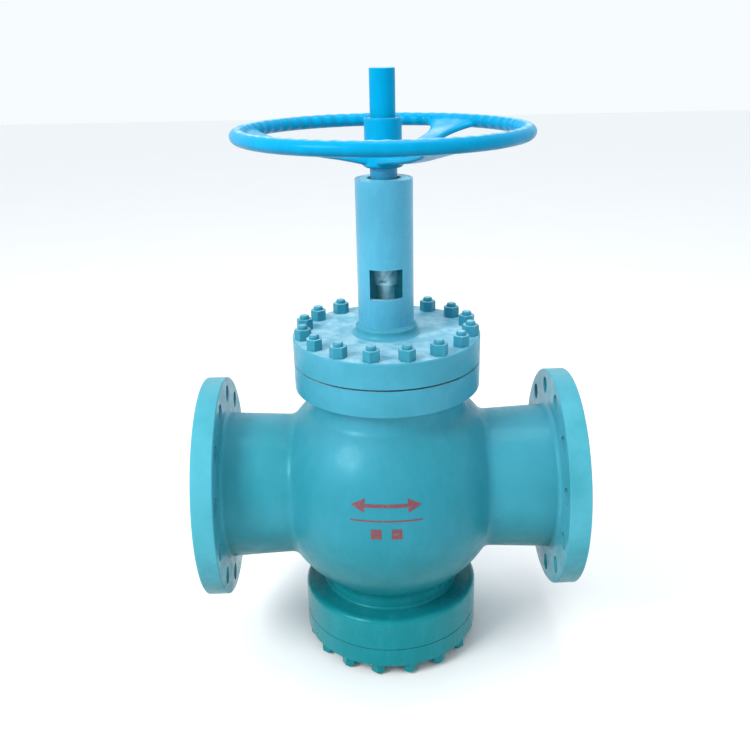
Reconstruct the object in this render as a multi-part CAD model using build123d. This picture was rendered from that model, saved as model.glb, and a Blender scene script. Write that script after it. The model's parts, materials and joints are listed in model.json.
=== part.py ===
from build123d import *
import math
import os

# Lift-type plug valve with two tapered slips, DN 250, PN 63, handwheel operated.
# Shown closed, with the plug at the bottom of its travel; no stop face is modelled.
#
# All sizes are in millimetres.  Heights are measured from the pipe axis, and the last
# step lifts every piece by AXIS_HEIGHT, so that the lower stud ends stand on Z = 0.
# X runs along the pipe from the inlet to the outlet, and Z along the stem.
AXIS_HEIGHT = 383.0

# Pipe ends
FACE_TO_FACE = 787.0
FLANGE_R = 235.0
FLANGE_THICK = 46.0
RAISED_R = 172.5
RAISED_HEIGHT = 2.0
PIPE_BORE_R = 125.0
PIPE_BOLTS = 12
PIPE_BOLT_CIRCLE_R = 200.0
OUTLET_BOLT_HOLE_R = 18.0
INLET_BOLT_HOLE_R = 18.25
NECK_R_AT_FLANGE = 157.0
NECK_R_AT_BULB = 149.0
PIPE_FLANGE_CHAMFER = 2.0
PIPE_ROOT_FILLET = 9.0
PIPE_END_START = 100.0

# Body shell
BULB_R = 252.0
TOP_NECK_R = 166.0
BOTTOM_NECK_R = 147.0
COVER_R = 193.0
TOP_FLANGE_UNDERSIDE = 234.0
TOP_FACE = 287.0
BOTTOM_FLANGE_TOP = -237.0
BOTTOM_FACE = -308.0
BULB_FILLET = 22.0
NECK_FILLET = 26.0
FLANGE_ROOT_FILLET = 5.0
BOTTOM_FLANGE_ROUND = 12.0
NECK_START = 120.0

# Cavity, passages and plug guides
BORE_R = 145.3
SHOULDER_Z = -131.0
LOWER_BORE_R = 120.0
WINDOW_WIDTH = 110.0
WINDOW_HEIGHT = 190.0
PASSAGE_TAPER_END = 330.0
SEAT_WALL = 30.0

# Covers, studs and nuts
BONNET_TOP = 343.0
BOSS_R = 63.0
BOSS_TOP = 362.0
BOSS_FILLET = 12.0
BOSS_TOP_ROUND = 3.0
EDGE_BREAK = 2.0
BOTTOM_COVER_UNDERSIDE = -353.0
SPIGOT = 10.0
SEAM_R = 161.0
TOP_SEAM = 4.0
BOTTOM_SEAM = 2.0
STUD_COUNT = 16
STUD_CIRCLE_R = 173.0
STUD_R = 10.0
STUD_HOLE_R = 11.0
STUD_DEPTH = 40.0
STUD_RISE = 30.0
STUD_END_ROUND = 4.0
NUT_FLATS = 30.0
NUT_HEIGHT = 22.0
GASKET_THICK = 3.0
BONNET_GASKET_R = (147.5, 158.0)
BOTTOM_GASKET_R = (126.0, 140.0)

# Plug, slips and their taper
TAPER = 0.1
LIFT = 46.0
PLUG_R = 118.0
PLUG_TOP = 125.0
PLUG_BOTTOM = -180.0
PLUG_FLAT_X = 85.0
TRUNNION_R = 35.0
TRUNNION_END = -290.0
TRUNNION_BUSH_TOP = -222.0
TRUNNION_BUSH_WALL = 6.0
TRUNNION_BUSH_END = TRUNNION_END - 2.0
PORT_CORNER = 30.0
PLUG_MARGIN = 10.0
TONGUE_HEIGHT = 12.0
TONGUE_HALF_ROOT = 25.0
TONGUE_HALF_TIP = 30.0
TONGUE_Z = (-119.0, 73.0)
CLEARANCE = 0.3
BUSH_CLEARANCE = 0.06
SLIP_R = 144.6
SLIP_HALF_WIDTH = 80.0
SLIP_HALF_HEIGHT = 120.0
SLIP_RING_R = 144.7
SLIP_RING_THICK = 9.5
SEAL_R = (140.0, 145.0)
SEAL_WIDTH = 8.0
SEAL_MARGIN = 17.0
SEAL_CORNERS = (16.0, 9.0)
SLEEVE_R = (124.0, 144.5)

# Stem, packing and gland
STEM_R = 18.0
STEM_FOOT = 70.0
STEM_PIN_R = 5.0
STEM_PIN_Z = 98.0
STEM_PIN_HALF = 45.0
CAM_R = 24.0
CAM_Z = (447.0, 530.0)
THREAD_R = 17.0
THREAD_PITCH = 8.0
STEM_TOP = 800.0
STUFFING_R = 28.0
STUFFING_FLOOR = 300.0
STEM_BUSH_WALL = 8.0
PACKING_RINGS = 5
PACKING_HEIGHT = 9.0
GLAND_FLANGE_R = 43.0
GLAND_STUD_X = 36.0
GLAND_STUD_R = 4.0
GLAND_STUD_DEPTH = 22.0
GLAND_STUD_RISE = 14.0
GLAND_NUT = (13.0, 7.0)
GLAND_LOW = STUFFING_FLOOR + PACKING_RINGS * PACKING_HEIGHT
GLAND_SEAT = 375.0
GLAND_TOP = 387.0

# Yoke tube, cam guide and bearings
YOKE_R = 56.6
YOKE_BORE_R = 46.0
YOKE_TOP = 656.6
YOKE_WINDOW_WIDTH = 65.0
YOKE_WINDOW_Z = (425.0, 486.0)
GUIDE_Z = 508.0
GUIDE_RING_HEIGHT = 28.0
GUIDE_PIN_R = 6.0
GUIDE_PIN_TIP = 18.6
GROOVE_FLOOR_R = 17.0
GROOVE_WIDTH = 16.4
GROOVE_OVERRUN = 9.0
RACE_THICK = 4.0
BALL_R = 3.95
BALL_CIRCLE_R = 36.0
BALL_COUNT = 20
BEARING_SEAT_Z = (580.0, 592.0)
COLLAR_Z = (608.0, 622.0)
COLLAR_R = 40.0
CAP_BOTTOM = 638.0
CAP_SEAT = CAP_BOTTOM + 10.0
CAP_SCREW_R = 3.0
CAP_SCREW_Z = CAP_BOTTOM + 9.0
WIPER_WIDTH = 6.5

# Stem nut, handwheel and stem cover
NUT_BORE_R = 17.35
NUT_NECK_R = 26.5
NUT_BOTTOM = 584.0
HUB_BOTTOM = 677.0
HUB_TOP = 770.0
HUB_R = 36.0
HUB_BORE_R = 24.0
HUB_RECESS_R = 32.0
WHEEL_NUT_Z = (756.0, 768.0)
KEY_WIDTH = 8.0
KEY_HEIGHT = 7.0
KEY_Z = (684.0, 744.0)
COVER_SEAT = 769.0
COVER_TOP = 857.0
STEM_COVER_R = 24.3
STEM_COVER_WALL = 3.3
STEM_COVER_CAP = 5.0
RIM_R = 274.0
RIM_HALF_WIDTH = 15.0
RIM_HALF_HEIGHT = 12.5
RIM_Z = 742.6
SPOKE_COUNT = 3
SPOKE_START = 53.6
SPOKE_WIDTH = 45.0
SPOKE_FLARE = 75.0
SPOKE_ROOT_EXTRA = 6.0
SPOKE_SHANK = (90.0, 170.0)
SPOKE_FLARE_MIDDLE = (232.0, 16.0)
SPOKE_DISH = (150.0, 702.0, 716.0)
SPOKE_RIM_HALF_HEIGHT = 7.0

PLUG_SIDES = ("inlet", "outlet")
LOW = (Align.CENTER, Align.CENTER, Align.MIN)


# ---- Shared shapes --------------------------------------------------------------

def rod(radius, low, high):
    """Round bar on the stem axis."""
    return Pos(0, 0, low) * Cylinder(radius, high - low, align=LOW)


def ring(inner, outer, low, high):
    """Plain ring on the stem axis."""
    return rod(outer, low, high) - rod(inner, low - 1, high + 1)


def turned(*corners):
    """Solid of revolution about the stem axis, from (radius, height) corners."""
    outline = make_face(Polyline(*corners, close=True))
    return revolve(Plane.XZ * outline, Axis.Z)


def around(piece, count, start=0.0):
    """Copies of a piece, evenly spaced about the stem axis."""
    return [Rot(0, 0, start + i * 360 / count) * piece for i in range(count)]


def bush(shaft, wall, low, high):
    """Plain bush with running clearance on its shaft."""
    return ring(shaft + BUSH_CLEARANCE, shaft + wall, low, high)


def group(pieces):
    """Identical loose pieces kept as separate solids."""
    return Compound([piece.solid() for piece in pieces])


def at_flanges(piece):
    """One copy at the outlet, and its half-turn copy at the inlet; the piece lies along +Z."""
    outlet = Rot(0, 90, 0) * piece
    return outlet + Rot(0, 0, 180) * outlet


def taper_block(offset, low, high, half_depth):
    """Block with two flats at X = +-(offset + TAPER * z), from one height to another."""
    bottom = offset + TAPER * low
    top = offset + TAPER * high
    outline = Polyline((-bottom, low), (bottom, low), (top, high), (-top, high), close=True)
    return extrude(Plane.XZ * make_face(outline), half_depth, both=True)


def dovetail(offset, growth, low, high):
    """Dovetail bar that follows the +X flat, grown all round for the matching groove."""
    root = TONGUE_HALF_ROOT + growth
    tip = TONGUE_HALF_TIP + growth
    height = TONGUE_HEIGHT + growth
    flat = Plane(origin=(offset, 0, 0), x_dir=(1, 0, -TAPER), z_dir=(TAPER, 0, 1))
    outline = Polyline((-2, -root), (0, -root), (height, -tip), (height, tip), (0, root), (-2, root),
                       close=True)
    bar = extrude(flat * make_face(outline), 2 * SLIP_HALF_HEIGHT, both=True)
    slab = Pos(0, 0, low) * Box(500, 200, high - low, align=LOW)
    return bar & slab


def stud(length, rounded):
    """Stud standing on Z = 0 with a domed free end."""
    body = turned((0, 0), (STUD_R, 0), (STUD_R, length), (0, length))
    return fillet(body.edges().group_by(Axis.Z)[-1], rounded)


def hex_nut(flats, height, bore):
    """Hexagon nut on Z = 0 with chamfered corners."""
    corner = flats / math.sqrt(3)
    blank = extrude(RegularPolygon(flats / 2, 6, major_radius=False), height)
    chamfer_cone = turned((0, 0), (corner - 1, 0), (corner, 1), (corner, height - 1.6),
                          (flats / 2, height), (0, height))
    return (blank & chamfer_cone) - rod(bore, -1, height + 1)


# ---- Pressure shell -------------------------------------------------------------

def pipe_end():
    """Neck and flange along +Z, from inside the bulb to the raised face."""
    face = FACE_TO_FACE / 2
    back = face - FLANGE_THICK
    front = face - RAISED_HEIGHT
    end = turned((0, PIPE_END_START), (NECK_R_AT_BULB - 4, PIPE_END_START), (NECK_R_AT_FLANGE, back),
                 (FLANGE_R, back), (FLANGE_R, front), (RAISED_R, front), (RAISED_R, face), (0, face))
    rims = [e for e in end.edges().filter_by(GeomType.CIRCLE) if abs(e.radius - FLANGE_R) < 1e-3]
    end = chamfer(rims, PIPE_FLANGE_CHAMFER)
    root = [e for e in end.edges().filter_by(GeomType.CIRCLE)
            if abs(e.radius - NECK_R_AT_FLANGE) < 1e-3]
    return fillet(root, PIPE_ROOT_FILLET)


def circles(shape, radius, height):
    """Circular edges of that radius at that height."""
    return [e for e in shape.edges().filter_by(GeomType.CIRCLE)
            if abs(e.radius - radius) < 1e-3 and abs(e.arc_center.Z - height) < 1e-3]


def round_flange_edges(neck):
    """Fillets where a body flange meets its neck, and the cast round of the bottom flange."""
    if neck.center().Z > 0:
        return fillet(circles(neck, TOP_NECK_R, TOP_FLANGE_UNDERSIDE), FLANGE_ROOT_FILLET)
    neck = fillet(circles(neck, BOTTOM_NECK_R, BOTTOM_FLANGE_TOP), FLANGE_ROOT_FILLET)
    return fillet(circles(neck, COVER_R, BOTTOM_FLANGE_TOP), BOTTOM_FLANGE_ROUND)


def bulb_junctions(shell):
    """Edges where a neck runs into the round bulb."""
    found = []
    for edge in shell.edges():
        on_bulb = all(abs((edge @ t).length - BULB_R) < 0.05 for t in (0.3, 0.7))
        seam = edge.geom_type == GeomType.CIRCLE and edge.radius > BULB_R - 1
        if on_bulb and not seam:
            found.append(edge)
    return found


def body_outside():
    """Bulb with its two pipe ends and the flanged necks for bonnet and bottom cover."""
    top = turned((0, NECK_START), (TOP_NECK_R, NECK_START), (TOP_NECK_R, TOP_FLANGE_UNDERSIDE),
                 (COVER_R, TOP_FLANGE_UNDERSIDE), (COVER_R, TOP_FACE), (0, TOP_FACE))
    bottom = turned((0, -NECK_START), (BOTTOM_NECK_R, -NECK_START),
                    (BOTTOM_NECK_R, BOTTOM_FLANGE_TOP), (COVER_R, BOTTOM_FLANGE_TOP),
                    (COVER_R, BOTTOM_FACE), (0, BOTTOM_FACE))
    shell = Sphere(BULB_R) + round_flange_edges(top) + round_flange_edges(bottom)
    shell = fillet(bulb_junctions(shell), NECK_FILLET)
    shell += at_flanges(pipe_end())
    across = [e for e in bulb_junctions(shell) if abs((e @ 0.3).X - (e @ 0.7).X) < 0.1]
    return fillet(across, BULB_FILLET)


def passage():
    """Flow passage along +Z, round at the flange and narrowed to the seat window."""
    near = BORE_R - SEAT_WALL
    window = Pos(0, 0, near) * Rectangle(WINDOW_HEIGHT, WINDOW_WIDTH)
    wide = Pos(0, 0, PASSAGE_TAPER_END) * Rectangle(2 * PIPE_BORE_R, 2 * PIPE_BORE_R)
    funnel = loft([window, wide], ruled=True)
    straight = Pos(0, 0, PASSAGE_TAPER_END) * Box(2 * PIPE_BORE_R, 2 * PIPE_BORE_R, 100, align=LOW)
    return (funnel + straight) & rod(PIPE_BORE_R, near, FACE_TO_FACE)


def cover_holes(radius, low, high):
    """Ring of sixteen stud holes, straddling the centre lines."""
    hole = Pos(STUD_CIRCLE_R, 0, 0) * rod(radius, low, high)
    return around(hole, STUD_COUNT, 180 / STUD_COUNT)


def valve_body():
    cavity = rod(BORE_R, SHOULDER_Z, TOP_FACE + 1) + rod(LOWER_BORE_R, BOTTOM_FACE - 1, 0)
    shell = body_outside() - cavity - at_flanges(passage())
    for radius, side in ((OUTLET_BOLT_HOLE_R, 90), (INLET_BOLT_HOLE_R, -90)):
        hole = Pos(PIPE_BOLT_CIRCLE_R, 0, 0) * rod(radius, PASSAGE_TAPER_END, FACE_TO_FACE)
        shell -= [Rot(0, side, 0) * h for h in around(hole, PIPE_BOLTS, 180 / PIPE_BOLTS)]
    shell -= cover_holes(STUD_R, TOP_FACE - STUD_DEPTH, TOP_FACE + 1)
    shell -= cover_holes(STUD_R, BOTTOM_FACE - 1, BOTTOM_FACE + STUD_DEPTH)
    shell -= ring(*BONNET_GASKET_R, TOP_FACE - GASKET_THICK, TOP_FACE + 1)
    shell -= ring(*BOTTOM_GASKET_R, BOTTOM_FACE - 1, BOTTOM_FACE + GASKET_THICK)
    return shell


def bonnet():
    bush_r = STEM_R + STEM_BUSH_WALL
    spigot_r = BORE_R - CLEARANCE
    rim = TOP_FACE + TOP_SEAM
    shell = turned((bush_r, TOP_FACE - SPIGOT), (spigot_r, TOP_FACE - SPIGOT), (spigot_r, TOP_FACE),
                   (SEAM_R, TOP_FACE), (SEAM_R, rim), (COVER_R, rim),
                   (COVER_R, BONNET_TOP - EDGE_BREAK), (COVER_R - EDGE_BREAK, BONNET_TOP),
                   (BOSS_R, BONNET_TOP), (BOSS_R, BOSS_TOP), (STUFFING_R, BOSS_TOP),
                   (STUFFING_R, STUFFING_FLOOR), (bush_r, STUFFING_FLOOR))
    shell = fillet(circles(shell, BOSS_R, BONNET_TOP), BOSS_FILLET)
    shell = fillet(circles(shell, BOSS_R, BOSS_TOP), BOSS_TOP_ROUND)
    shell -= cover_holes(STUD_HOLE_R, TOP_FACE - 1, BONNET_TOP + 1)
    gland_hole = rod(GLAND_STUD_R, BOSS_TOP - GLAND_STUD_DEPTH, BOSS_TOP + 1)
    return shell - around(Pos(GLAND_STUD_X, 0, 0) * gland_hole, 2)


def bottom_cover():
    boss_r = 2 * TRUNNION_R
    bush_r = TRUNNION_R + TRUNNION_BUSH_WALL
    pocket_r = TRUNNION_R + 1
    pocket = TRUNNION_BUSH_END - 8
    spigot_r = LOWER_BORE_R - CLEARANCE
    spigot = BOTTOM_FACE + SPIGOT
    rim = BOTTOM_FACE - BOTTOM_SEAM
    shell = turned((0, BOTTOM_COVER_UNDERSIDE), (COVER_R - EDGE_BREAK, BOTTOM_COVER_UNDERSIDE),
                   (COVER_R, BOTTOM_COVER_UNDERSIDE + EDGE_BREAK), (COVER_R, rim), (SEAM_R, rim),
                   (SEAM_R, BOTTOM_FACE), (spigot_r, BOTTOM_FACE), (spigot_r, spigot),
                   (boss_r, spigot), (boss_r, TRUNNION_BUSH_TOP), (bush_r, TRUNNION_BUSH_TOP),
                   (bush_r, TRUNNION_BUSH_END), (pocket_r, TRUNNION_BUSH_END), (pocket_r, pocket),
                   (0, pocket))
    return shell - cover_holes(STUD_HOLE_R, BOTTOM_COVER_UNDERSIDE - 1, BOTTOM_FACE + 1)


def bonnet_studs():
    length = STUD_DEPTH + BONNET_TOP - TOP_FACE + STUD_RISE
    piece = Pos(STUD_CIRCLE_R, 0, TOP_FACE - STUD_DEPTH) * stud(length, STUD_END_ROUND)
    return group(around(piece, STUD_COUNT, 180 / STUD_COUNT))


def bonnet_nuts():
    piece = Pos(STUD_CIRCLE_R, 0, BONNET_TOP) * hex_nut(NUT_FLATS, NUT_HEIGHT, STUD_R + 0.1)
    return group(around(piece, STUD_COUNT, 180 / STUD_COUNT))


def bottom_studs():
    length = STUD_DEPTH + BOTTOM_FACE - BOTTOM_COVER_UNDERSIDE + STUD_RISE
    piece = Rot(180, 0, 0) * stud(length, STUD_END_ROUND)
    piece = Pos(STUD_CIRCLE_R, 0, BOTTOM_FACE + STUD_DEPTH) * piece
    return group(around(piece, STUD_COUNT, 180 / STUD_COUNT))


def bottom_nuts():
    piece = Rot(180, 0, 0) * hex_nut(NUT_FLATS, NUT_HEIGHT, STUD_R + 0.1)
    piece = Pos(STUD_CIRCLE_R, 0, BOTTOM_COVER_UNDERSIDE) * piece
    return group(around(piece, STUD_COUNT, 180 / STUD_COUNT))


# ---- Plug, slips and retainers --------------------------------------------------

def plug():
    barrel = rod(PLUG_R, PLUG_BOTTOM, PLUG_TOP)
    barrel &= taper_block(PLUG_FLAT_X, PLUG_BOTTOM, PLUG_TOP, PLUG_R + PLUG_MARGIN)
    barrel += rod(TRUNNION_R, TRUNNION_END, PLUG_BOTTOM + 1)
    tongue = dovetail(PLUG_FLAT_X, 0, *TONGUE_Z)
    barrel += around(tongue, 2)
    outline = RectangleRounded(WINDOW_WIDTH, WINDOW_HEIGHT, PORT_CORNER)
    port = extrude(Plane.XZ * outline, PLUG_R + PLUG_MARGIN, both=True)
    barrel -= Pos(0, 0, -LIFT) * port
    barrel -= rod(STEM_R + 0.05, STEM_FOOT, PLUG_TOP + 1)
    pin_hole = Cylinder(STEM_PIN_R, PLUG_R + PLUG_MARGIN + STEM_PIN_HALF, align=LOW)
    return barrel - Pos(0, STEM_PIN_HALF, STEM_PIN_Z) * Rot(90, 0, 0) * pin_hole


def stem_pin():
    bar = Cylinder(STEM_PIN_R, 2 * STEM_PIN_HALF)
    return Pos(0, 0, STEM_PIN_Z) * Rot(90, 0, 0) * bar


def cam_grooves():
    """Two right-hand helical grooves that turn the stem a quarter turn over its lift."""
    rise = LIFT + 2 * GROOVE_OVERRUN
    low = GUIDE_Z - LIFT - GROOVE_OVERRUN
    sweep = 90 * rise / LIFT
    first = -90 - 90 * GROOVE_OVERRUN / LIFT
    depth = CAM_R + 4 - GROOVE_FLOOR_R
    middle = (CAM_R + 4 + GROOVE_FLOOR_R) / 2
    section = Pos(middle, 0, 0) * Rectangle(depth, GROOVE_WIDTH)
    cutter = Solid.extrude_linear_with_rotation(
        section.face(), center=(0, 0, 0), normal=(0, 0, rise), angle=sweep)
    return around(Pos(0, 0, low) * Rot(0, 0, first) * cutter, 2)


def stem():
    corners = [(0, STEM_FOOT), (STEM_R, STEM_FOOT), (STEM_R, CAM_Z[0]), (CAM_R, CAM_Z[0]),
               (CAM_R, CAM_Z[1]), (THREAD_R, CAM_Z[1] + 5)]
    turns = int((STEM_TOP - 10 - CAM_Z[1] - 20) / THREAD_PITCH)
    for i in range(turns):
        z = CAM_Z[1] + 20 + i * THREAD_PITCH
        corners += [(THREAD_R, z), (THREAD_R - 3, z + 1), (THREAD_R - 3, z + 4), (THREAD_R, z + 5)]
    corners += [(THREAD_R, STEM_TOP - 2), (THREAD_R - 2, STEM_TOP), (0, STEM_TOP)]
    shaft = turned(*corners)
    shaft -= cam_grooves()
    return shaft - Pos(0, 0, STEM_PIN_Z) * Rot(90, 0, 0) * Cylinder(STEM_PIN_R, 4 * STEM_R)


def seal_frame(inner, outer):
    """Rounded rectangular band on the outlet side, between two radii."""
    height = WINDOW_HEIGHT + 2 * SEAL_MARGIN
    width = WINDOW_WIDTH + 2 * SEAL_MARGIN
    band = RectangleRounded(height, width, SEAL_CORNERS[0])
    band -= RectangleRounded(height - 2 * SEAL_WIDTH, width - 2 * SEAL_WIDTH, SEAL_CORNERS[1])
    frame = Rot(0, 90, 0) * Pos(0, 0, 100) * extrude(band, 60)
    return frame & ring(inner, outer, -SLIP_HALF_HEIGHT, SLIP_HALF_HEIGHT)


def slip():
    """Outlet slip: round outside, flat tapered inside, with dovetail and seal grooves."""
    block = rod(SLIP_R, -SLIP_HALF_HEIGHT, SLIP_HALF_HEIGHT)
    block &= Pos(100, 0, 0) * Box(200, 2 * SLIP_HALF_WIDTH, 2 * SLIP_HALF_HEIGHT)
    inner = PLUG_FLAT_X + CLEARANCE
    block -= taper_block(inner, -SLIP_HALF_HEIGHT - 1, SLIP_HALF_HEIGHT + 1, SLIP_HALF_WIDTH + 10)
    block -= dovetail(PLUG_FLAT_X, CLEARANCE, -SLIP_HALF_HEIGHT - 1, SLIP_HALF_HEIGHT + 1)
    return block - seal_frame(SEAL_R[0], SEAL_R[1] + 5)


def slip_seal():
    return seal_frame(*SEAL_R)


def slip_ring(low, half_opening):
    """Retainer ring that the plug slides through and turns by its flats."""
    blank = rod(SLIP_RING_R, low, low + SLIP_RING_THICK)
    opening = rod(PLUG_R + 0.4, low - 1, low + SLIP_RING_THICK + 1)
    opening &= Pos(0, 0, low) * Box(2 * half_opening, 300, 4 * SLIP_RING_THICK)
    return blank - opening


# ---- Packing and gland ----------------------------------------------------------

def packing_rings():
    rings = []
    for i in range(PACKING_RINGS):
        low = STUFFING_FLOOR + i * PACKING_HEIGHT
        rings.append(ring(STEM_R + 0.05, STUFFING_R, low, low + PACKING_HEIGHT))
    return group(rings)


def gland_follower():
    return turned((STEM_R + 0.3, GLAND_LOW), (STUFFING_R - 0.2, GLAND_LOW),
                  (STUFFING_R - 0.2, GLAND_SEAT), (STEM_R + 0.3, GLAND_SEAT))


def gland_flange():
    plate = ring(STEM_R + 1, GLAND_FLANGE_R, GLAND_SEAT, GLAND_TOP)
    hole = Pos(GLAND_STUD_X, 0, 0) * rod(GLAND_STUD_R + 0.5, GLAND_SEAT - 1, GLAND_TOP + 1)
    return plate - around(hole, 2)


def gland_studs():
    low = BOSS_TOP - GLAND_STUD_DEPTH
    piece = Pos(GLAND_STUD_X, 0, 0) * rod(GLAND_STUD_R, low, GLAND_TOP + GLAND_STUD_RISE)
    return group(around(piece, 2))


def gland_nuts():
    piece = Pos(GLAND_STUD_X, 0, GLAND_TOP) * hex_nut(*GLAND_NUT, GLAND_STUD_R + 0.05)
    return group(around(piece, 2))


# ---- Yoke, cam guide and bearings -----------------------------------------------

def yoke_tube():
    tube = ring(YOKE_BORE_R, YOKE_R, BOSS_TOP, YOKE_TOP)
    tube = chamfer(circles(tube, YOKE_R, YOKE_TOP), 1)
    low, high = YOKE_WINDOW_Z
    front = (Align.CENTER, Align.MAX, Align.MIN)
    window = Pos(0, 0, low) * Box(YOKE_WINDOW_WIDTH, 2 * YOKE_R, high - low, align=front)
    tube -= window
    screw_hole = Pos(0, YOKE_BORE_R - 1, CAP_SCREW_Z) * Rot(-90, 0, 0)
    return tube - screw_hole * Cylinder(CAP_SCREW_R, 20, align=LOW)


def guide_ring():
    half = GUIDE_RING_HEIGHT / 2
    blank = ring(CAM_R + 0.6, YOKE_BORE_R, GUIDE_Z - half, GUIDE_Z + half)
    hole = Pos(0, 0, GUIDE_Z) * Rot(0, 90, 0) * Cylinder(GUIDE_PIN_R, 100, align=LOW)
    return blank - around(hole, 2)


def guide_pins():
    length = YOKE_BORE_R - 0.5 - GUIDE_PIN_TIP
    pin = Pos(GUIDE_PIN_TIP, 0, GUIDE_Z) * Rot(0, 90, 0) * Cylinder(GUIDE_PIN_R, length, align=LOW)
    return group(around(pin, 2))


def bearing_cap():
    bore = NUT_NECK_R + 0.7
    wiper_r = NUT_NECK_R + WIPER_WIDTH
    cap = turned((bore, CAP_BOTTOM), (YOKE_BORE_R, CAP_BOTTOM), (YOKE_BORE_R, YOKE_TOP),
                 (wiper_r, YOKE_TOP), (wiper_r, CAP_SEAT), (bore, CAP_SEAT))
    dimple = Rot(-90, 0, 0) * Cylinder(CAP_SCREW_R, 20, align=LOW)
    return cap - Pos(0, YOKE_BORE_R - 4, CAP_SCREW_Z) * dimple


def cap_screw():
    """Socket set screw that locks the bearing cap."""
    body = Cylinder(CAP_SCREW_R - 0.05, YOKE_R - 0.6 - YOKE_BORE_R + 4, align=LOW)
    socket = extrude(RegularPolygon(1.5, 6, major_radius=False), 3)
    body -= Pos(0, 0, YOKE_R - 0.6 - YOKE_BORE_R + 1) * socket
    return Pos(0, YOKE_BORE_R - 4, CAP_SCREW_Z) * Rot(-90, 0, 0) * body


def race(inner, outer, low):
    return ring(inner, outer, low, low + RACE_THICK)


def balls(centre_z):
    ball = Pos(BALL_CIRCLE_R, 0, centre_z) * Sphere(BALL_R)
    return group(around(ball, BALL_COUNT))


def cage(centre_z):
    plate = ring(BALL_CIRCLE_R - 6, BALL_CIRCLE_R + 6, centre_z - 1.5, centre_z + 1.5)
    hole = Pos(BALL_CIRCLE_R, 0, centre_z) * Cylinder(BALL_R + 0.1, 10)
    return plate - around(hole, BALL_COUNT)


# ---- Stem nut, handwheel and stem cover -----------------------------------------

def key_bar():
    """Key between the stem nut and the handwheel hub, on the +X side."""
    low, high = KEY_Z
    return Pos(HUB_BORE_R, 0, low) * Box(KEY_HEIGHT, KEY_WIDTH, high - low, align=LOW)


def stem_nut():
    end_r = STEM_COVER_R - STEM_COVER_WALL - 0.1
    end = COVER_SEAT + 16
    nut = turned((NUT_BORE_R, NUT_BOTTOM), (NUT_NECK_R + 0.5, NUT_BOTTOM),
                 (NUT_NECK_R + 0.5, COLLAR_Z[0]), (COLLAR_R, COLLAR_Z[0]), (COLLAR_R, COLLAR_Z[1]),
                 (NUT_NECK_R, COLLAR_Z[1]), (NUT_NECK_R, HUB_BOTTOM), (HUB_BORE_R, HUB_BOTTOM),
                 (HUB_BORE_R, COVER_SEAT), (end_r, COVER_SEAT), (end_r, end), (NUT_BORE_R, end))
    return nut - key_bar()


def spoke_plan(rim_end):
    """Outline of a spoke seen from above, widening at the hub and flaring into the rim."""
    half = SPOKE_WIDTH / 2
    root = HUB_R - 10
    outline = []
    for side in (1, -1):
        hub = Line((root, side * (half + SPOKE_ROOT_EXTRA)), (SPOKE_SHANK[0], side * half))
        shank = Line(hub @ 1, (SPOKE_SHANK[1], side * half))
        middle = (SPOKE_FLARE_MIDDLE[0], side * (half + SPOKE_FLARE_MIDDLE[1]))
        flare = ThreePointArc(shank @ 1, middle, (rim_end, side * SPOKE_FLARE))
        outline += [hub, shank, flare]
    outline.append(Line((root, half + SPOKE_ROOT_EXTRA), (root, -half - SPOKE_ROOT_EXTRA)))
    outline.append(Line((rim_end, SPOKE_FLARE), (rim_end, -SPOKE_FLARE)))
    return make_face(outline)


def spoke():
    """One dished spoke along +X, from the hub out into the rim."""
    hub_end = HUB_R - 8
    rim_end = RIM_R - 4
    dish_r, dish_low, dish_high = SPOKE_DISH
    rim_top = (rim_end, RIM_Z + SPOKE_RIM_HALF_HEIGHT)
    rim_low = (rim_end, RIM_Z - SPOKE_RIM_HALF_HEIGHT)
    top = ThreePointArc((hub_end, HUB_BOTTOM + 30), (dish_r, dish_high), rim_top)
    outer = Line(rim_top, rim_low)
    under = ThreePointArc(rim_low, (dish_r, dish_low), (hub_end, HUB_BOTTOM + 4))
    inner = Line(under @ 1, top @ 0)
    side = Plane.XZ * make_face([top, outer, under, inner])
    bar = extrude(side, SPOKE_FLARE, both=True)
    return bar & extrude(spoke_plan(rim_end), 2 * HUB_TOP)


def handwheel():
    rim = revolve(Plane.XZ * Pos(RIM_R, RIM_Z) * Ellipse(RIM_HALF_WIDTH, RIM_HALF_HEIGHT), Axis.Z)
    wheel = rim + rod(HUB_R, HUB_BOTTOM, HUB_TOP) + around(spoke(), SPOKE_COUNT, SPOKE_START)
    wheel -= rod(HUB_BORE_R, HUB_BOTTOM - 1, HUB_TOP + 1)
    wheel -= rod(HUB_RECESS_R, WHEEL_NUT_Z[0], HUB_TOP + 1)
    return wheel - key_bar()


def wheel_nut():
    blank = ring(HUB_BORE_R, HUB_RECESS_R - 0.5, *WHEEL_NUT_Z)
    slot = Pos(HUB_RECESS_R - 2, 0, WHEEL_NUT_Z[0]) * Box(8, 6, 40)
    return blank - around(slot, 4, 45)


def stem_cover():
    bore = STEM_COVER_R - STEM_COVER_WALL
    inside = COVER_TOP - STEM_COVER_CAP
    return turned((bore, COVER_SEAT), (STEM_COVER_R, COVER_SEAT), (STEM_COVER_R, COVER_TOP - 1),
                  (STEM_COVER_R - 1, COVER_TOP), (0, COVER_TOP), (0, inside), (bore, inside))


# ---- Write one STEP file per piece ----------------------------------------------

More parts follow.
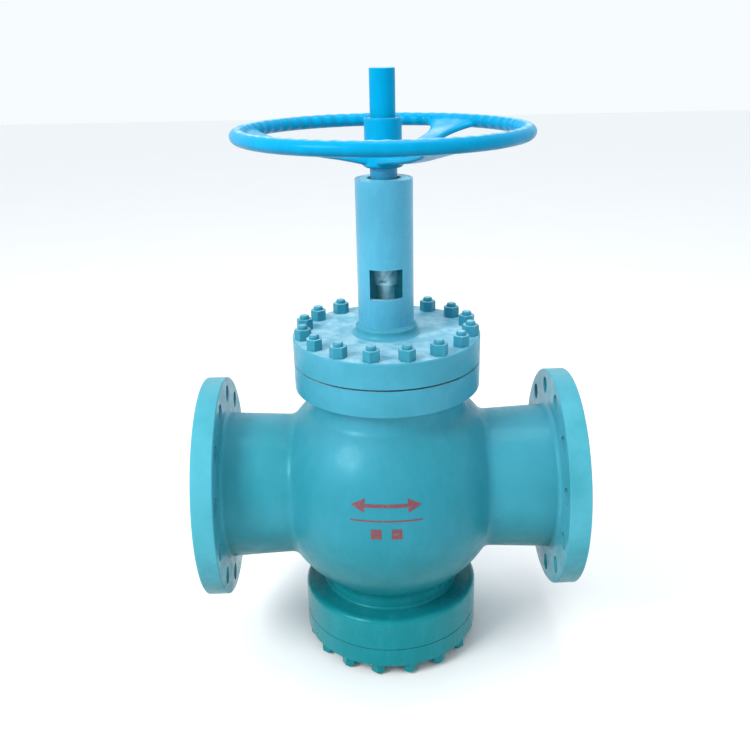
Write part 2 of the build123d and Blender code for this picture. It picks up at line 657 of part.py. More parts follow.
def all_pieces():
    lower_ball_z = BEARING_SEAT_Z[1] + RACE_THICK + 4
    upper_ball_z = COLLAR_Z[1] + RACE_THICK + 4
    slip_ring_gap = 0.5
    lower_ring_low = SHOULDER_Z + slip_ring_gap
    upper_ring_low = -lower_ring_low - SLIP_RING_THICK
    lower_opening = PLUG_FLAT_X + TAPER * (lower_ring_low + SLIP_RING_THICK) + CLEARANCE
    upper_opening = PLUG_FLAT_X + TAPER * PLUG_TOP + CLEARANCE
    pieces = {
        "valve_body": valve_body(),
        "bonnet": bonnet(),
        "bottom_cover": bottom_cover(),
        "bonnet_gasket": ring(*BONNET_GASKET_R, TOP_FACE - GASKET_THICK, TOP_FACE),
        "bottom_gasket": ring(*BOTTOM_GASKET_R, BOTTOM_FACE, BOTTOM_FACE + GASKET_THICK),
        "bonnet_studs": bonnet_studs(),
        "bonnet_nuts": bonnet_nuts(),
        "bottom_studs": bottom_studs(),
        "bottom_nuts": bottom_nuts(),
        "spacer_sleeve": ring(*SLEEVE_R, -SHOULDER_Z, TOP_FACE - SPIGOT),
        "trunnion_bush": bush(TRUNNION_R, TRUNNION_BUSH_WALL, TRUNNION_BUSH_END, TRUNNION_BUSH_TOP),
        "stem_bush": bush(STEM_R, STEM_BUSH_WALL, TOP_FACE - SPIGOT, STUFFING_FLOOR),
        "packing_rings": packing_rings(),
        "gland_follower": gland_follower(),
        "gland_flange": gland_flange(),
        "gland_studs": gland_studs(),
        "gland_nuts": gland_nuts(),
        "yoke_tube": yoke_tube(),
        "guide_ring": guide_ring(),
        "guide_pins": guide_pins(),
        "bearing_seat": ring(NUT_NECK_R + 2, YOKE_BORE_R, *BEARING_SEAT_Z),
        "lower_fixed_race": race(NUT_NECK_R + 2, COLLAR_R + 4, BEARING_SEAT_Z[1]),
        "lower_turning_race": race(NUT_NECK_R + 0.5, COLLAR_R + 3, COLLAR_Z[0] - RACE_THICK),
        "upper_turning_race": race(NUT_NECK_R, COLLAR_R + 3, COLLAR_Z[1]),
        "upper_fixed_race": race(NUT_NECK_R + 2, COLLAR_R + 4, CAP_BOTTOM - RACE_THICK),
        "lower_balls": balls(lower_ball_z),
        "upper_balls": balls(upper_ball_z),
        "lower_ball_cage": cage(lower_ball_z),
        "upper_ball_cage": cage(upper_ball_z),
        "bearing_cap": bearing_cap(),
        "cap_set_screw": cap_screw(),
        "wiper_seal": ring(NUT_NECK_R + 0.1, NUT_NECK_R + WIPER_WIDTH, CAP_SEAT, YOKE_TOP - 1),
        "stem_nut": stem_nut(),
        "handwheel": handwheel(),
        "wheel_key": key_bar(),
        "wheel_nut": wheel_nut(),
        "stem_cover": stem_cover(),
        "stem": stem(),
        "plug": plug(),
        "stem_pin": stem_pin(),
        "upper_slip_ring": slip_ring(upper_ring_low, upper_opening),
        "lower_slip_ring": slip_ring(lower_ring_low, lower_opening),
    }
    for side, turn in zip(PLUG_SIDES, (180, 0)):
        pieces[side + "_slip"] = Rot(0, 0, turn) * slip()
        pieces[side + "_slip_seal"] = Rot(0, 0, turn) * slip_seal()
    return pieces


os.makedirs("parts", exist_ok=True)
for name, piece in all_pieces().items():
    export_step(Pos(0, 0, AXIS_HEIGHT) * piece, "parts/" + name + ".step")
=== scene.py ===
import json
import math
import random

import bmesh
import bpy
from mathutils import Matrix, Vector


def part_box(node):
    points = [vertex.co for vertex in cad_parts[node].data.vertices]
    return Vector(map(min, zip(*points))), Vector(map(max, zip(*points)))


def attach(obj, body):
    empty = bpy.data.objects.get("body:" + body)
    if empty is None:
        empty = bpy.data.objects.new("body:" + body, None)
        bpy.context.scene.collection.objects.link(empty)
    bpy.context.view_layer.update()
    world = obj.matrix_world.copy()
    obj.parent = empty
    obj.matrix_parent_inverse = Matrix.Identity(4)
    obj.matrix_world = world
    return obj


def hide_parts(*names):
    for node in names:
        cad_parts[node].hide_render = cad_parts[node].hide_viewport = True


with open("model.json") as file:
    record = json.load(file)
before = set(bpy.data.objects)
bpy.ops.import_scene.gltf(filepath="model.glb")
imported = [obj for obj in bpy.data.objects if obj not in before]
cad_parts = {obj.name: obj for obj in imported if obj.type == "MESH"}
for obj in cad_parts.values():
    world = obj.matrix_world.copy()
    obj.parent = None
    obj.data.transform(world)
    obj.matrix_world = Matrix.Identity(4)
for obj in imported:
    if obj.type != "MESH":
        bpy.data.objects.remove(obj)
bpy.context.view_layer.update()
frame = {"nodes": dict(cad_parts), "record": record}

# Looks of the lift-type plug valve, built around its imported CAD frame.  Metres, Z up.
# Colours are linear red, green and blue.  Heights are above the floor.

NODES = frame["nodes"]

# ---- Places read from the frame -------------------------------------------------
BODY_LOW, BODY_HIGH = (Vector(v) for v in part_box("valve_body"))
WHEEL_LOW, WHEEL_HIGH = (Vector(v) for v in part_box("handwheel"))
YOKE_LOW, YOKE_HIGH = (Vector(v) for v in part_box("yoke_tube"))
JOINT = {joint["name"]: joint for joint in frame["record"]["behaviour"]["joints"]}
AXIS_HEIGHT = JOINT["plug_turn"]["pos_m"][2]
RIM_HEIGHT = JOINT["handwheel_turn"]["pos_m"][2]
BULB_RADIUS = (BODY_HIGH.y - BODY_LOW.y) / 2
YOKE_RADIUS = (YOKE_HIGH.x - YOKE_LOW.x) / 2
WHEEL_RADIUS = (WHEEL_HIGH.x - WHEEL_LOW.x) / 2


# ---- Material helpers -----------------------------------------------------------
class Nodes:
    """Small wrapper that adds shader nodes and links them."""

    def __init__(self, name):
        self.material = bpy.data.materials.new(name)
        self.material.use_nodes = True
        self.tree = self.material.node_tree
        self.bsdf = self.tree.nodes["Principled BSDF"]
        self.place = self.tree.nodes.new("ShaderNodeTexCoord").outputs["Object"]

    def link(self, source, target):
        self.tree.links.new(source, target)

    def noise(self, scale, detail=4.0, roughness=0.55, stretch=None):
        node = self.tree.nodes.new("ShaderNodeTexNoise")
        node.inputs["Scale"].default_value = scale
        node.inputs["Detail"].default_value = detail
        node.inputs["Roughness"].default_value = roughness
        if stretch:
            mapping = self.tree.nodes.new("ShaderNodeMapping")
            mapping.inputs["Scale"].default_value = stretch
            self.link(self.place, mapping.inputs["Vector"])
            self.link(mapping.outputs["Vector"], node.inputs["Vector"])
        else:
            self.link(self.place, node.inputs["Vector"])
        return node.outputs["Fac"]

    def remap(self, value, low, high, to_low=0.0, to_high=1.0):
        """Smooth step of a value from one range to another."""
        node = self.tree.nodes.new("ShaderNodeMapRange")
        node.interpolation_type = "SMOOTHSTEP"
        node.inputs["From Min"].default_value = low
        node.inputs["From Max"].default_value = high
        node.inputs["To Min"].default_value = to_low
        node.inputs["To Max"].default_value = to_high
        self.link(value, node.inputs["Value"])
        return node.outputs["Result"]

    def math(self, operation, first, second):
        node = self.tree.nodes.new("ShaderNodeMath")
        node.operation = operation
        for socket, value in zip(node.inputs, (first, second)):
            if isinstance(value, float):
                socket.default_value = value
            else:
                self.link(value, socket)
        return node.outputs["Value"]

    def scaled(self, value, factor):
        return self.math("MULTIPLY", value, factor)

    def mix(self, factor, first, second):
        node = self.tree.nodes.new("ShaderNodeMix")
        node.data_type = "RGBA"
        self.link(factor, node.inputs["Factor"])
        for socket, value in ((node.inputs[6], first), (node.inputs[7], second)):
            if isinstance(value, tuple):
                socket.default_value = (*value, 1.0)
            else:
                self.link(value, socket)
        return node.outputs[2]

    def edges(self, reach, low=0.015, high=0.10):
        """Mask of the sharp outer and inner edges within a reach in metres."""
        bevel = self.tree.nodes.new("ShaderNodeBevel")
        bevel.samples = 4
        bevel.inputs["Radius"].default_value = reach
        geometry = self.tree.nodes.new("ShaderNodeNewGeometry")
        dot = self.tree.nodes.new("ShaderNodeVectorMath")
        dot.operation = "DOT_PRODUCT"
        self.link(bevel.outputs["Normal"], dot.inputs[0])
        self.link(geometry.outputs["Normal"], dot.inputs[1])
        return self.remap(self.math("SUBTRACT", 1.0, dot.outputs["Value"]), low, high)

    def along(self, axis):
        split = self.tree.nodes.new("ShaderNodeSeparateXYZ")
        self.link(self.place, split.inputs["Vector"])
        return split.outputs[axis]

    def within(self, radius, soft=0.001):
        """Mask of everything closer than a radius to the stem axis."""
        flat = self.tree.nodes.new("ShaderNodeVectorMath")
        flat.operation = "MULTIPLY"
        flat.inputs[1].default_value = (1.0, 1.0, 0.0)
        self.link(self.place, flat.inputs[0])
        length = self.tree.nodes.new("ShaderNodeVectorMath")
        length.operation = "LENGTH"
        self.link(flat.outputs["Vector"], length.inputs[0])
        return self.remap(length.outputs["Value"], radius + soft, radius)

    def facing_up(self, low, high):
        """Mask by how far a face looks up: 1 is straight up and -1 straight down."""
        geometry = self.tree.nodes.new("ShaderNodeNewGeometry")
        split = self.tree.nodes.new("ShaderNodeSeparateXYZ")
        self.link(geometry.outputs["Normal"], split.inputs["Vector"])
        return self.remap(split.outputs["Z"], low, high)

    def bump(self, height, distance, strength=1.0, after=None):
        node = self.tree.nodes.new("ShaderNodeBump")
        node.inputs["Distance"].default_value = distance
        node.inputs["Strength"].default_value = strength
        self.link(height, node.inputs["Height"])
        if after is not None:
            self.link(after, node.inputs["Normal"])
        return node.outputs["Normal"]

    def set(self, **values):
        for name, value in values.items():
            socket = self.bsdf.inputs[name.replace("_", " ")]
            if isinstance(value, (int, float)):
                socket.default_value = value
            elif isinstance(value, tuple):
                socket.default_value = (*value, 1.0)
            else:
                self.link(value, socket)


def scaled_tone(tone, factor, lift=0.0):
    return tuple(min(1.0, factor * c + lift) for c in tone)


# ---- Paint, with painted light and shade ----------------------------------------
# Heights and spans of painted light: greener low down as painted shade and green floor reflection,
# lighter high up as painted top light, paler necks and rims as painted highlight.
GREENEST_HEIGHT = 0.10
MIDDLE_HEIGHTS = (AXIS_HEIGHT + 0.03, AXIS_HEIGHT + 0.05)
BLUEST_HEIGHT = 0.66
NECK_SPAN = (0.170, 0.240)
RIM_SPAN = (0.340, 0.352)
# Heights of the pale top patches: dust and painted top light.
DUST_AND_TOP_LIGHT_HEIGHTS = (0.60, 0.70)
GLOSSY_HEIGHTS = (0.22, 0.14)
EDGE_REACH = 0.0016
# Pale tone of the top patches: dust and painted top light.
DUST_AND_TOP_LIGHT_TONE = (0.55, 0.80, 0.92)
CHIP_TONE = (0.11, 0.085, 0.07)
# Paler bore tone: painted light in the yoke's shaded bore.
BORE_PAINTED_LIGHT_TONE = (0.16, 0.74, 0.86)
SHEEN_TINT = (0.30, 0.92, 1.0)

# Shell tones: the low tone is painted shade and floor reflection, the high tone painted top light, the
# rim tone a painted highlight.
SHELL_LOW = (0.003, 0.190, 0.218)
SHELL_MIDDLE = (0.024, 0.215, 0.290)
SHELL_HIGH = (0.060, 0.295, 0.420)
SHELL_RIM_HIGHLIGHT = (0.075, 0.355, 0.450)
NUT_TONE = (0.035, 0.235, 0.340)
YOKE_SHADE = (0.035, 0.250, 0.370)
YOKE_TONE = (0.075, 0.335, 0.500)
WHEEL_SHADE = (0.000, 0.215, 0.400)
WHEEL_TONE = (0.000, 0.270, 0.510)


def painted_light_film(n, low, middle, high, rim_highlight):
    """Painted light by height: darker and greener towards the floor as painted shade and a painted
    green floor reflection, lighter towards the top as painted top light; paler outward along the pipe,
    on the necks and where there are rims, as a painted highlight.
    """
    height = n.along("Z")
    # Painted shade and floor reflection low down, painted light high up.
    film = n.mix(n.remap(height, GREENEST_HEIGHT, MIDDLE_HEIGHTS[0]), low, middle)
    film = n.mix(n.remap(height, MIDDLE_HEIGHTS[1], BLUEST_HEIGHT), film, high)
    if rim_highlight:
        span = n.math("ABSOLUTE", n.along("X"), 0.0)
        # Painted highlight on the necks, then on the rims.
        film = n.mix(n.remap(span, *NECK_SPAN, 0.0, 0.30), film, rim_highlight)
        film = n.mix(n.scaled(n.remap(span, *RIM_SPAN), 0.9), film, rim_highlight)
    return film


def brushed_film(n, film, low, middle):
    """Broad darker clouds and long brush marks."""
    clouds = n.remap(n.noise(6, 5, 0.6), 0.35, 0.72, 0.0, 0.42)
    film = n.mix(clouds, film, low)
    brush = n.remap(n.noise(38, 6, 0.7, (1, 1, 0.25)), 0.42, 0.75, 0.0, 0.22)
    return n.mix(brush, film, scaled_tone(middle, 1.4))


def underside_shade_film(n, film, dark):
    """Painted shade, in patches, on the faces that look down."""
    film = n.mix(n.scaled(n.facing_up(0.05, -0.85), 0.75), film, dark)
    patches = n.remap(n.noise(16, 8, 0.7), 0.40, 0.62, 0.0, 0.5)
    return n.mix(n.math("MULTIPLY", n.facing_up(0.3, -0.9), patches), film, dark)


def dust_and_top_light_mask(n):
    """Patchy dust and painted top light: pale patches on the flat top faces above the bulb."""
    patches = n.remap(n.noise(24, 8, 0.65), 0.36, 0.66, 0.14, 0.50)
    dust_and_top_light = n.math("MULTIPLY", n.facing_up(0.90, 0.995), patches)
    return n.math("MULTIPLY", dust_and_top_light, n.remap(n.along("Z"), *DUST_AND_TOP_LIGHT_HEIGHTS))


def worn_and_edge_highlight_film(n, film, high, dark):
    """Lighter edges, partly paint wear and partly a painted edge highlight, with a few chips down to
    the primer, and dark specks.
    """
    edge = n.edges(EDGE_REACH)
    # Lighter edges: paint wear and a painted edge highlight.
    film = n.mix(n.scaled(edge, 0.14), film, scaled_tone(high, 1.7, 0.04))
    chips = n.math("MULTIPLY", edge, n.remap(n.noise(170, 5, 0.7), 0.64, 0.69))
    film = n.mix(n.scaled(chips, 0.75), film, CHIP_TONE)
    specks = n.remap(n.noise(240, 3, 0.5), 0.72, 0.77, 0.0, 0.4)
    return n.mix(specks, film, dark)


def cast_skin(n, cast):
    """Bumps of a painted casting: slow waves, sand grain and a fine orange peel."""
    skin = n.bump(n.noise(12, 2, 0.4), 0.0022 * cast, 0.6)
    skin = n.bump(n.noise(70, 5, 0.6), 0.0011 * cast, 0.8, skin)
    return n.bump(n.noise(420, 3, 0.5), 0.00020, 0.6, skin)


def enamel(name, low, middle, high, cast=0.5, gloss=0.36, shine=0.26, rim_highlight=None, painted_light_bore=None):
    """Brushed-on enamel with painted light and shade; the last argument is the radius within which the
    yoke's bore is painted paler, as painted light in its shaded bore.
    """
    n = Nodes(name)
    dark = scaled_tone(low, 0.62)
    # Base tone with painted light by height and a painted highlight on necks and rims.
    film = painted_light_film(n, low, middle, high, rim_highlight)
    film = brushed_film(n, film, low, middle)
    # Painted shade on the faces that look down.
    film = underside_shade_film(n, film, dark)
    # Pale patches on the top faces: dust and painted top light.
    dust_and_top_light = dust_and_top_light_mask(n)
    film = n.mix(dust_and_top_light, film, DUST_AND_TOP_LIGHT_TONE)
    # Lighter edges as wear and painted highlight, then chips and specks.
    film = worn_and_edge_highlight_film(n, film, high, dark)
    # Painted light: the yoke's shaded bore is painted paler.
    if painted_light_bore:
        film = n.mix(n.within(painted_light_bore), film, BORE_PAINTED_LIGHT_TONE)
    rough = n.remap(n.noise(30, 6, 0.7), 0.3, 0.75, gloss - 0.07, gloss + 0.14)
    rough = n.math("ADD", rough, n.scaled(dust_and_top_light, 0.30))
    rough = n.math("SUBTRACT", rough, n.remap(n.along("Z"), *GLOSSY_HEIGHTS, 0.0, 0.14))
    n.set(Base_Color=film, Roughness=rough, Normal=cast_skin(n, cast))
    n.set(Specular_IOR_Level=shine, Specular_Tint=SHEEN_TINT)
    n.set(Coat_Weight=0.2 * shine, Coat_Roughness=0.14)
    return n.material


# ---- Metal, rubber and marking paint --------------------------------------------
def metal(name, colour, dark, rough, lines=(1, 1, 9), stain=0.3, bare=1.0, overspray=None):
    """Machined metal with turning lines and stains; overspray is (colour, height) of stray paint."""
    n = Nodes(name)
    stains = n.remap(n.noise(22, 7, 0.65), 0.42, 0.70, 0.0, stain)
    tone = n.mix(stains, colour, dark)
    fine = n.noise(160, 4, 0.6, lines)
    roughness = n.remap(fine, 0.3, 0.7, rough - 0.06, rough + 0.14)
    metallic = bare
    if overspray:
        paint, height = overspray
        covered = n.remap(n.along("Z"), height - 0.002, height)
        tone = n.mix(covered, tone, paint)
        metallic = n.math("SUBTRACT", bare, covered)
    n.set(Base_Color=tone, Metallic=metallic, Roughness=roughness, Normal=n.bump(fine, 0.00012, 0.7))
    return n.material


def rubbery(name, colour, light, rough):
    """Moulded rubber or pressed graphite with a faint bloom."""
    n = Nodes(name)
    tone = n.mix(n.remap(n.noise(45, 6, 0.7), 0.4, 0.7, 0.0, 0.6), colour, light)
    n.set(Base_Color=tone, Roughness=n.remap(n.noise(90, 4), 0.3, 0.7, rough - 0.08, rough + 0.08),
          Normal=n.bump(n.noise(380, 4), 0.0002, 0.6))
    return n.material


def marking_paint():
    """Red stencil paint, thin and worn through to the enamel."""
    n = Nodes("red_marking")
    worn = n.remap(n.noise(150, 8, 0.75), 0.54, 0.64, 0.0, 0.8)
    tone = n.mix(worn, (0.155, 0.036, 0.050), (0.05, 0.17, 0.22))
    n.set(Base_Color=tone, Roughness=0.5, Normal=n.bump(n.noise(300, 4), 0.0002, 0.6))
    return n.material


def painted_materials():
    bore = YOKE_RADIUS - 0.010
    return {
        "shell_enamel": enamel("shell_enamel", SHELL_LOW, SHELL_MIDDLE, SHELL_HIGH, cast=0.6,
                               rim_highlight=SHELL_RIM_HIGHLIGHT),
        "yoke_enamel": enamel("yoke_enamel", YOKE_SHADE, YOKE_TONE, YOKE_TONE, cast=0.18,
                              gloss=0.30, shine=0.45, painted_light_bore=bore),
        "wheel_enamel": enamel("wheel_enamel", WHEEL_SHADE, WHEEL_TONE, WHEEL_TONE, cast=0.45,
                               gloss=0.30, shine=0.11),
        "cover_enamel": enamel("cover_enamel", WHEEL_SHADE, WHEEL_TONE, WHEEL_TONE, cast=0.15,
                               shine=0.05),
        "painted_fastener": enamel("painted_fastener", SHELL_LOW, SHELL_MIDDLE, NUT_TONE, cast=0.25),
    }


def bare_materials():
    return {
        "machined_steel": metal("machined_steel", (0.52, 0.53, 0.55), (0.22, 0.19, 0.16), 0.34),
        "ground_stainless": metal("ground_stainless", (0.30, 0.58, 0.68), (0.06, 0.22, 0.28), 0.40,
                                  lines=(0.2, 0.2, 3), stain=0.8, bare=0.2),
        "plated_plug": metal("plated_plug", (0.72, 0.73, 0.74), (0.50, 0.50, 0.50), 0.16),
        "ductile_iron": metal("ductile_iron", (0.30, 0.30, 0.31), (0.15, 0.12, 0.10), 0.50,
                              lines=(1, 1, 1)),
        "bearing_steel": metal("bearing_steel", (0.66, 0.67, 0.69), (0.35, 0.30, 0.22), 0.14),
        "bronze": metal("bronze", (0.60, 0.40, 0.16), (0.24, 0.15, 0.07), 0.30,
                        overspray=(WHEEL_SHADE, YOKE_HIGH.z)),
        "graphite_packing": rubbery("graphite_packing", (0.03, 0.03, 0.032), (0.09, 0.09, 0.095), 0.55),
        "seal_rubber": rubbery("seal_rubber", (0.012, 0.012, 0.013), (0.05, 0.05, 0.052), 0.60),
    }


def dress_cad(materials):
    """Gives every CAD node the procedural material of its slot."""
    for entry in frame["record"]["subparts"]:
        for slot in NODES[entry["node"]].material_slots:
            slot.material = materials[entry["material_slot"]]


# ---- Mesh helpers ---------------------------------------------------------------
def new_piece(name, bm, material, smooth=True):
    mesh = bpy.data.meshes.new(name)
    bmesh.ops.recalc_face_normals(bm, faces=bm.faces)
    bm.to_mesh(mesh)
    bm.free()
    mesh.polygons.foreach_set("use_smooth", [smooth] * len(mesh.polygons))
    piece = bpy.data.objects.new(name, mesh)
    bpy.context.collection.objects.link(piece)
    mesh.materials.append(material)
    return piece


def skin_rings(bm, rings, close_length=False, cap=False):
    """Joins a list of equally long point rings into a tube of quads."""
    grid = [[bm.verts.new(p) for p in ring] for ring in rings]
    pairs = list(zip(grid, grid[1:]))
    if close_length:
        pairs.append((grid[-1], grid[0]))
    for a, b in pairs:
        for i in range(len(a)):
            j = (i + 1) % len(a)
            bm.faces.new((a[i], a[j], b[j], b[i]))
    if cap:
        bm.faces.new(list(reversed(grid[0])))
        bm.faces.new(grid[-1])


def turned(profile, steps):
    """Rings of a radius and height profile turned about the stem axis."""
    angles = [2 * math.pi * i / steps for i in range(steps)]
    return [[(r * math.cos(a), r * math.sin(a), z) for r, z in profile] for a in angles]


def apply_modifiers(piece):
    graph = bpy.context.evaluated_depsgraph_get()
    mesh = bpy.data.meshes.new_from_object(piece.evaluated_get(graph))
    piece.modifiers.clear()
    piece.data = mesh


# ---- Handwheel ------------------------------------------------------------------
RIM_CENTRE_R = WHEEL_RADIUS - 0.0165
RIM_HALF_W = 0.0162
RIM_HALF_H = 0.0140
RIM_SIDES = 28
FINGER_WAVES = 60
STEPS_PER_WAVE = 12
WAVE_DEPTH = 0.17
WAVE_TILT = 0.35
HUB_RADIUS = 0.0360
HUB_FOOT_R = HUB_RADIUS + 0.004
HUB_BORE = 0.0245
HUB_STEPS = 96
RECESS_RADIUS = 0.0325
RECESS_DEPTH = 0.0140
SPOKES = 3
FIRST_SPOKE_DEG = 53.6
SPOKE_STEPS = 64
SPOKE_SIDES = 32
SPOKE_START = Vector((HUB_RADIUS - 0.006, WHEEL_LOW.z + 0.017))
SPOKE_MIDDLE = Vector((0.150, WHEEL_LOW.z + 0.032))
SPOKE_END_R = RIM_CENTRE_R - 0.006
SPOKE_END = Vector((SPOKE_END_R, RIM_HEIGHT - 0.001))
SPOKE_HALF_W = 0.0225
SPOKE_HALF_H = 0.0072
SPOKE_FLARE_START = 0.170
SPOKE_FLARE_W = 0.0525
SPOKE_FLARE_H = 0.0016
SPOKE_ROOT_R = 0.090
SPOKE_ROOT_W = 0.014
SPOKE_ROOT_H = 0.0110
MELT_VOXEL = 0.0017


def rim_rings():
    """Oval rim with finger waves along its inner side."""
    rings = []
    steps = FINGER_WAVES * STEPS_PER_WAVE
    for i in range(steps):
        turn = 2 * math.pi * i / steps
        wave = 0.5 - 0.5 * math.cos(FINGER_WAVES * turn)
        ring = []
        for j in range(RIM_SIDES):
            a = 2 * math.pi * j / RIM_SIDES
            grip = max(0.0, -math.cos(a + WAVE_TILT)) ** 0.7
            shrink = 1 - WAVE_DEPTH * wave * grip
            r = RIM_CENTRE_R + RIM_HALF_W * shrink * math.cos(a)
            z = RIM_HEIGHT + RIM_HALF_H * shrink * math.sin(a)
            ring.append((r * math.cos(turn), r * math.sin(turn), z))
        rings.append(ring)
    return rings


def blunted(value, power):
    """A sine or cosine pushed outward, which squares off an oval."""
    return math.copysign(abs(value) ** power, value)


def spoke_rings(angle):
    """Dished spoke from the hub into the rim, thicker at the hub and flaring at the rim."""
    bend = 2 * SPOKE_MIDDLE - 0.5 * (SPOKE_START + SPOKE_END)
    flare_length = SPOKE_END_R - SPOKE_FLARE_START
    rings = []
    for i in range(SPOKE_STEPS + 1):
        t = i / SPOKE_STEPS
        at = (1 - t) ** 2 * SPOKE_START + 2 * t * (1 - t) * bend + t * t * SPOKE_END
        flare = max(0.0, (at.x - SPOKE_FLARE_START) / flare_length) ** 2.6
        root = max(0.0, 1 - at.x / SPOKE_ROOT_R) ** 1.5
        half_width = SPOKE_HALF_W + SPOKE_FLARE_W * flare + SPOKE_ROOT_W * root
        half_height = SPOKE_HALF_H + SPOKE_FLARE_H * flare + SPOKE_ROOT_H * root
        ring = []
        for j in range(SPOKE_SIDES):
            a = 2 * math.pi * j / SPOKE_SIDES
            side = half_width * blunted(math.cos(a), 0.6)
            up = half_height * blunted(math.sin(a), 0.7)
            x = at.x * math.cos(angle) - side * math.sin(angle)
            y = at.x * math.sin(angle) + side * math.cos(angle)
            ring.append((x, y, at.y + up))
        rings.append(ring)
    return rings


def hub_rings():
    """Hub turned about the stem axis, with the lock nut recess in its top."""
    low, high = WHEEL_LOW.z, WHEEL_HIGH.z
    profile = [(HUB_BORE, low), (HUB_RADIUS - 0.001, low), (HUB_FOOT_R, low + 0.004),
               (HUB_FOOT_R, low + 0.030), (HUB_RADIUS, low + 0.040), (HUB_RADIUS, high - 0.002),
               (HUB_RADIUS - 0.002, high), (RECESS_RADIUS, high), (RECESS_RADIUS, high - RECESS_DEPTH),
               (HUB_BORE, high - RECESS_DEPTH)]
    return turned(profile, HUB_STEPS)


def handwheel(material):
    """Cast wheel: rim, spokes and hub melted into one skin, then smoothed like a casting."""
    bm = bmesh.new()
    skin_rings(bm, rim_rings(), close_length=True)
    for i in range(SPOKES):
        skin_rings(bm, spoke_rings(math.radians(FIRST_SPOKE_DEG + 360 / SPOKES * i)), cap=True)
    skin_rings(bm, hub_rings(), close_length=True)
    wheel = new_piece("cast_handwheel", bm, material)
    remesh = wheel.modifiers.new("melt", "REMESH")
    remesh.mode = "VOXEL"
    remesh.voxel_size = MELT_VOXEL
    remesh.use_smooth_shade = True
    smooth = wheel.modifiers.new("fair", "SMOOTH")
    smooth.factor = 0.5
    smooth.iterations = 7
    apply_modifiers(wheel)
    wheel.data.materials.clear()
    wheel.data.materials.append(material)
    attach(wheel, "wheel")
    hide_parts("handwheel")


# ---- Weld bead under the yoke ---------------------------------------------------
BEAD_REACH = 0.0052
BEAD_SINK = 0.0006
BEAD_HOLLOW = 0.22
BEAD_STEPS = 360
BEAD_ARC_STEPS = 8
BEAD_RIPPLES = 96
RIPPLE_HEIGHT = 0.0006
RIPPLE_SCATTER = 0.0002


def weld_bead(material):
    """Rippled fillet weld that joins the yoke tube to the bonnet boss."""
    bm = bmesh.new()
    rng = random.Random(7)
    corner_r, corner_z = YOKE_RADIUS - BEAD_SINK, YOKE_LOW.z - BEAD_SINK
    rings = []
    for i in range(BEAD_STEPS):
        turn = 2 * math.pi * i / BEAD_STEPS
        ripple = RIPPLE_HEIGHT * math.cos(BEAD_RIPPLES * turn)
        ripple += rng.uniform(-RIPPLE_SCATTER, RIPPLE_SCATTER)
        ring = [(corner_r, corner_z)]
        for j in range(BEAD_ARC_STEPS + 1):
            a = math.pi / 2 * j / BEAD_ARC_STEPS
            reach = (BEAD_REACH + ripple) * (1 - BEAD_HOLLOW * math.sin(2 * a))
            ring.append((corner_r + reach * math.cos(a), corner_z + reach * math.sin(a)))
        rings.append([(r * math.cos(turn), r * math.sin(turn), z) for r, z in ring])
    skin_rings(bm, rings, close_length=True)
    bead = new_piece("yoke_weld_bead", bm, material)
    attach(bead, "valve")


# ---- Generic red marking on the bulb --------------------------------------------
# Longitudes are degrees right of the bulb's front, and latitudes degrees above the pipe axis.
MARK_STAND_OFF = 0.0005
MARK_SINK = 0.0006
MARK_CENTRE_LON = -3.0
MARK_HALF_LON = 16.5
ARROW_LAT = 16.2
ARROW_HEAD_LON = 6.5
ARROW_HEAD_LAT = 3.2
ARROW_TIP_LAT = 0.05
ARROW_SHAFT_LAT = 0.8
ARROW_GAP_LON = 0.02
BAR_LATS = (8.9, 9.6)
BLOCK_LATS = (0.6, 5.4)
BLOCK_OFFSET_LON = 4.6
BLOCK_HALF_LON = 2.4


def on_bulb(lon, lat, lift):
    """Point on the front of the bulb from degrees of longitude and latitude."""
    r = BULB_RADIUS + lift
    lon, lat = math.radians(lon), math.radians(lat)
    return (r * math.cos(lat) * math.sin(lon), -r * math.cos(lat) * math.cos(lon),
            AXIS_HEIGHT + r * math.sin(lat))


def mark_patch(bm, lon0, lon1, edges):
    """Thin closed patch between two longitudes; edges(t) gives its lower and upper latitude."""
    steps = max(4, int(abs(lon1 - lon0) * 2))
    columns = []
    for i in range(steps + 1):
        t = i / steps
        lon = lon0 + (lon1 - lon0) * t
        low, high = edges(t)
        columns.append([on_bulb(lon, low, -MARK_SINK), on_bulb(lon, high, -MARK_SINK),
                        on_bulb(lon, high, MARK_STAND_OFF), on_bulb(lon, low, MARK_STAND_OFF)])
    skin_rings(bm, columns, cap=True)


def arrow_edges(half_lat):
    return ARROW_LAT - half_lat, ARROW_LAT + half_lat


def red_marking(material):
    """Double-headed flow arrow over a bar and two blocks: plain shapes, no lettering."""
    bm = bmesh.new()
    left, right = MARK_CENTRE_LON - MARK_HALF_LON, MARK_CENTRE_LON + MARK_HALF_LON
    neck_left, neck_right = left + ARROW_HEAD_LON, right - ARROW_HEAD_LON
    mark_patch(bm, left, neck_left, lambda t: arrow_edges(ARROW_HEAD_LAT * t + ARROW_TIP_LAT))
    mark_patch(bm, neck_left + ARROW_GAP_LON, neck_right - ARROW_GAP_LON,
               lambda t: arrow_edges(ARROW_SHAFT_LAT))
    mark_patch(bm, neck_right, right, lambda t: arrow_edges(ARROW_HEAD_LAT * (1 - t) + ARROW_TIP_LAT))
    mark_patch(bm, left, right, lambda t: BAR_LATS)
    for offset in (-BLOCK_OFFSET_LON, BLOCK_OFFSET_LON):
        centre = MARK_CENTRE_LON + offset
        mark_patch(bm, centre - BLOCK_HALF_LON, centre + BLOCK_HALF_LON, lambda t: BLOCK_LATS)
    mark = new_piece("red_flow_marking", bm, material, smooth=False)
    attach(mark, "valve")


# ---- Stage, light and camera ----------------------------------------------------
FLOOR_HALF_SIZE = 14
LIGHT_TARGET = (0, 0, 0.6)
CAMERA_LENS_MM = 41.13
CAMERA_SHIFT = -0.0163
CAMERA_DISTANCE = 1.681
CAMERA_RISE = 0.9063
CAMERA_YAW = math.radians(-1.46)
CAMERA_PITCH = math.radians(90 - 21.43)
CAMERA_ROLL = math.radians(-1.02)


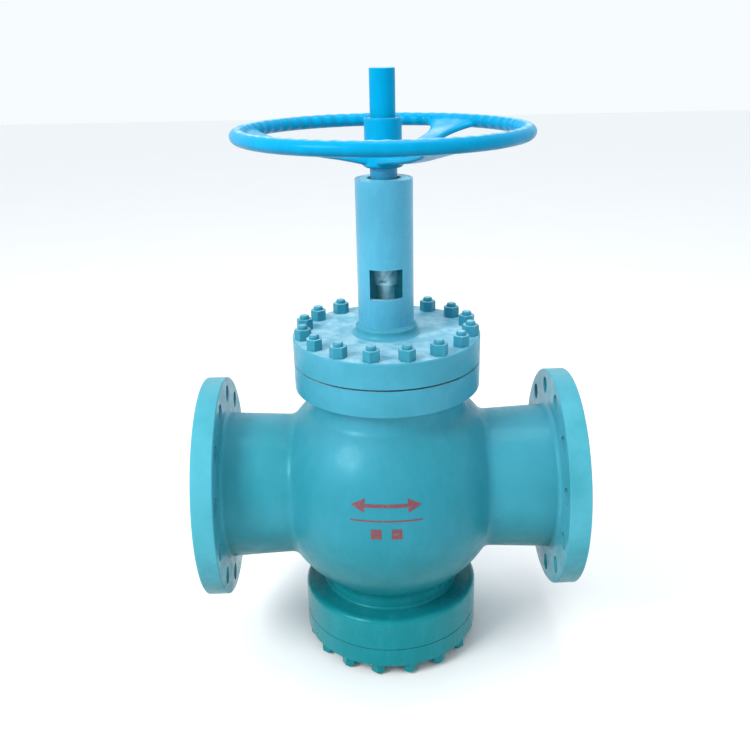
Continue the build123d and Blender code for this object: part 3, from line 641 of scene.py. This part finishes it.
def stage():
    bm = bmesh.new()
    bmesh.ops.create_grid(bm, x_segments=1, y_segments=1, size=FLOOR_HALF_SIZE)
    n = Nodes("pale_floor")
    n.set(Base_Color=n.mix(n.noise(3, 3), (0.91, 0.92, 0.93), (0.94, 0.945, 0.95)), Roughness=0.8)
    floor = new_piece("studio_floor", bm, n.material, smooth=False)


def area_light(name, place, size, power, tint):
    light = bpy.data.lights.new(name, "AREA")
    light.shape = "DISK"
    light.size = size
    light.energy = power
    light.color = tint
    lamp = bpy.data.objects.new(name, light)
    lamp.location = place
    lamp.rotation_euler = (Vector(LIGHT_TARGET) - Vector(place)).to_track_quat("-Z", "Y").to_euler()
    bpy.context.collection.objects.link(lamp)


def lights():
    world = bpy.data.worlds.new("studio")
    world.use_nodes = True
    background = world.node_tree.nodes["Background"]
    background.inputs["Color"].default_value = (0.93, 0.97, 1.0, 1.0)
    background.inputs["Strength"].default_value = 1.0
    bpy.context.scene.world = world
    area_light("key", (-2.2, -1.8, 2.7), 1.5, 95, (1.0, 0.99, 0.97))
    area_light("top", (0.2, 0.3, 3.4), 1.4, 30, (1.0, 1.0, 1.0))


def camera():
    """Viewpoint of the photograph: a little higher than the stem cover, looking down at the front."""
    data = bpy.data.cameras.new("camera")
    data.sensor_width = 36
    data.lens = CAMERA_LENS_MM
    data.shift_x = CAMERA_SHIFT
    eye = bpy.data.objects.new("camera", data)
    heading = Matrix.Rotation(CAMERA_YAW, 4, "Z")
    turn = heading @ Matrix.Rotation(CAMERA_PITCH, 4, "X") @ Matrix.Rotation(CAMERA_ROLL, 4, "Z")
    spot = heading @ Vector((0, -CAMERA_DISTANCE, 0))
    eye.matrix_world = Matrix.Translation((spot.x, spot.y, AXIS_HEIGHT + CAMERA_RISE)) @ turn
    bpy.context.collection.objects.link(eye)
    bpy.context.scene.camera = eye
    bpy.context.scene.view_settings.view_transform = "Standard"


camera()
lights()
stage()
MATERIALS = {**painted_materials(), **bare_materials()}
dress_cad(MATERIALS)
handwheel(MATERIALS["wheel_enamel"])
weld_bead(MATERIALS["shell_enamel"])
red_marking(marking_paint())
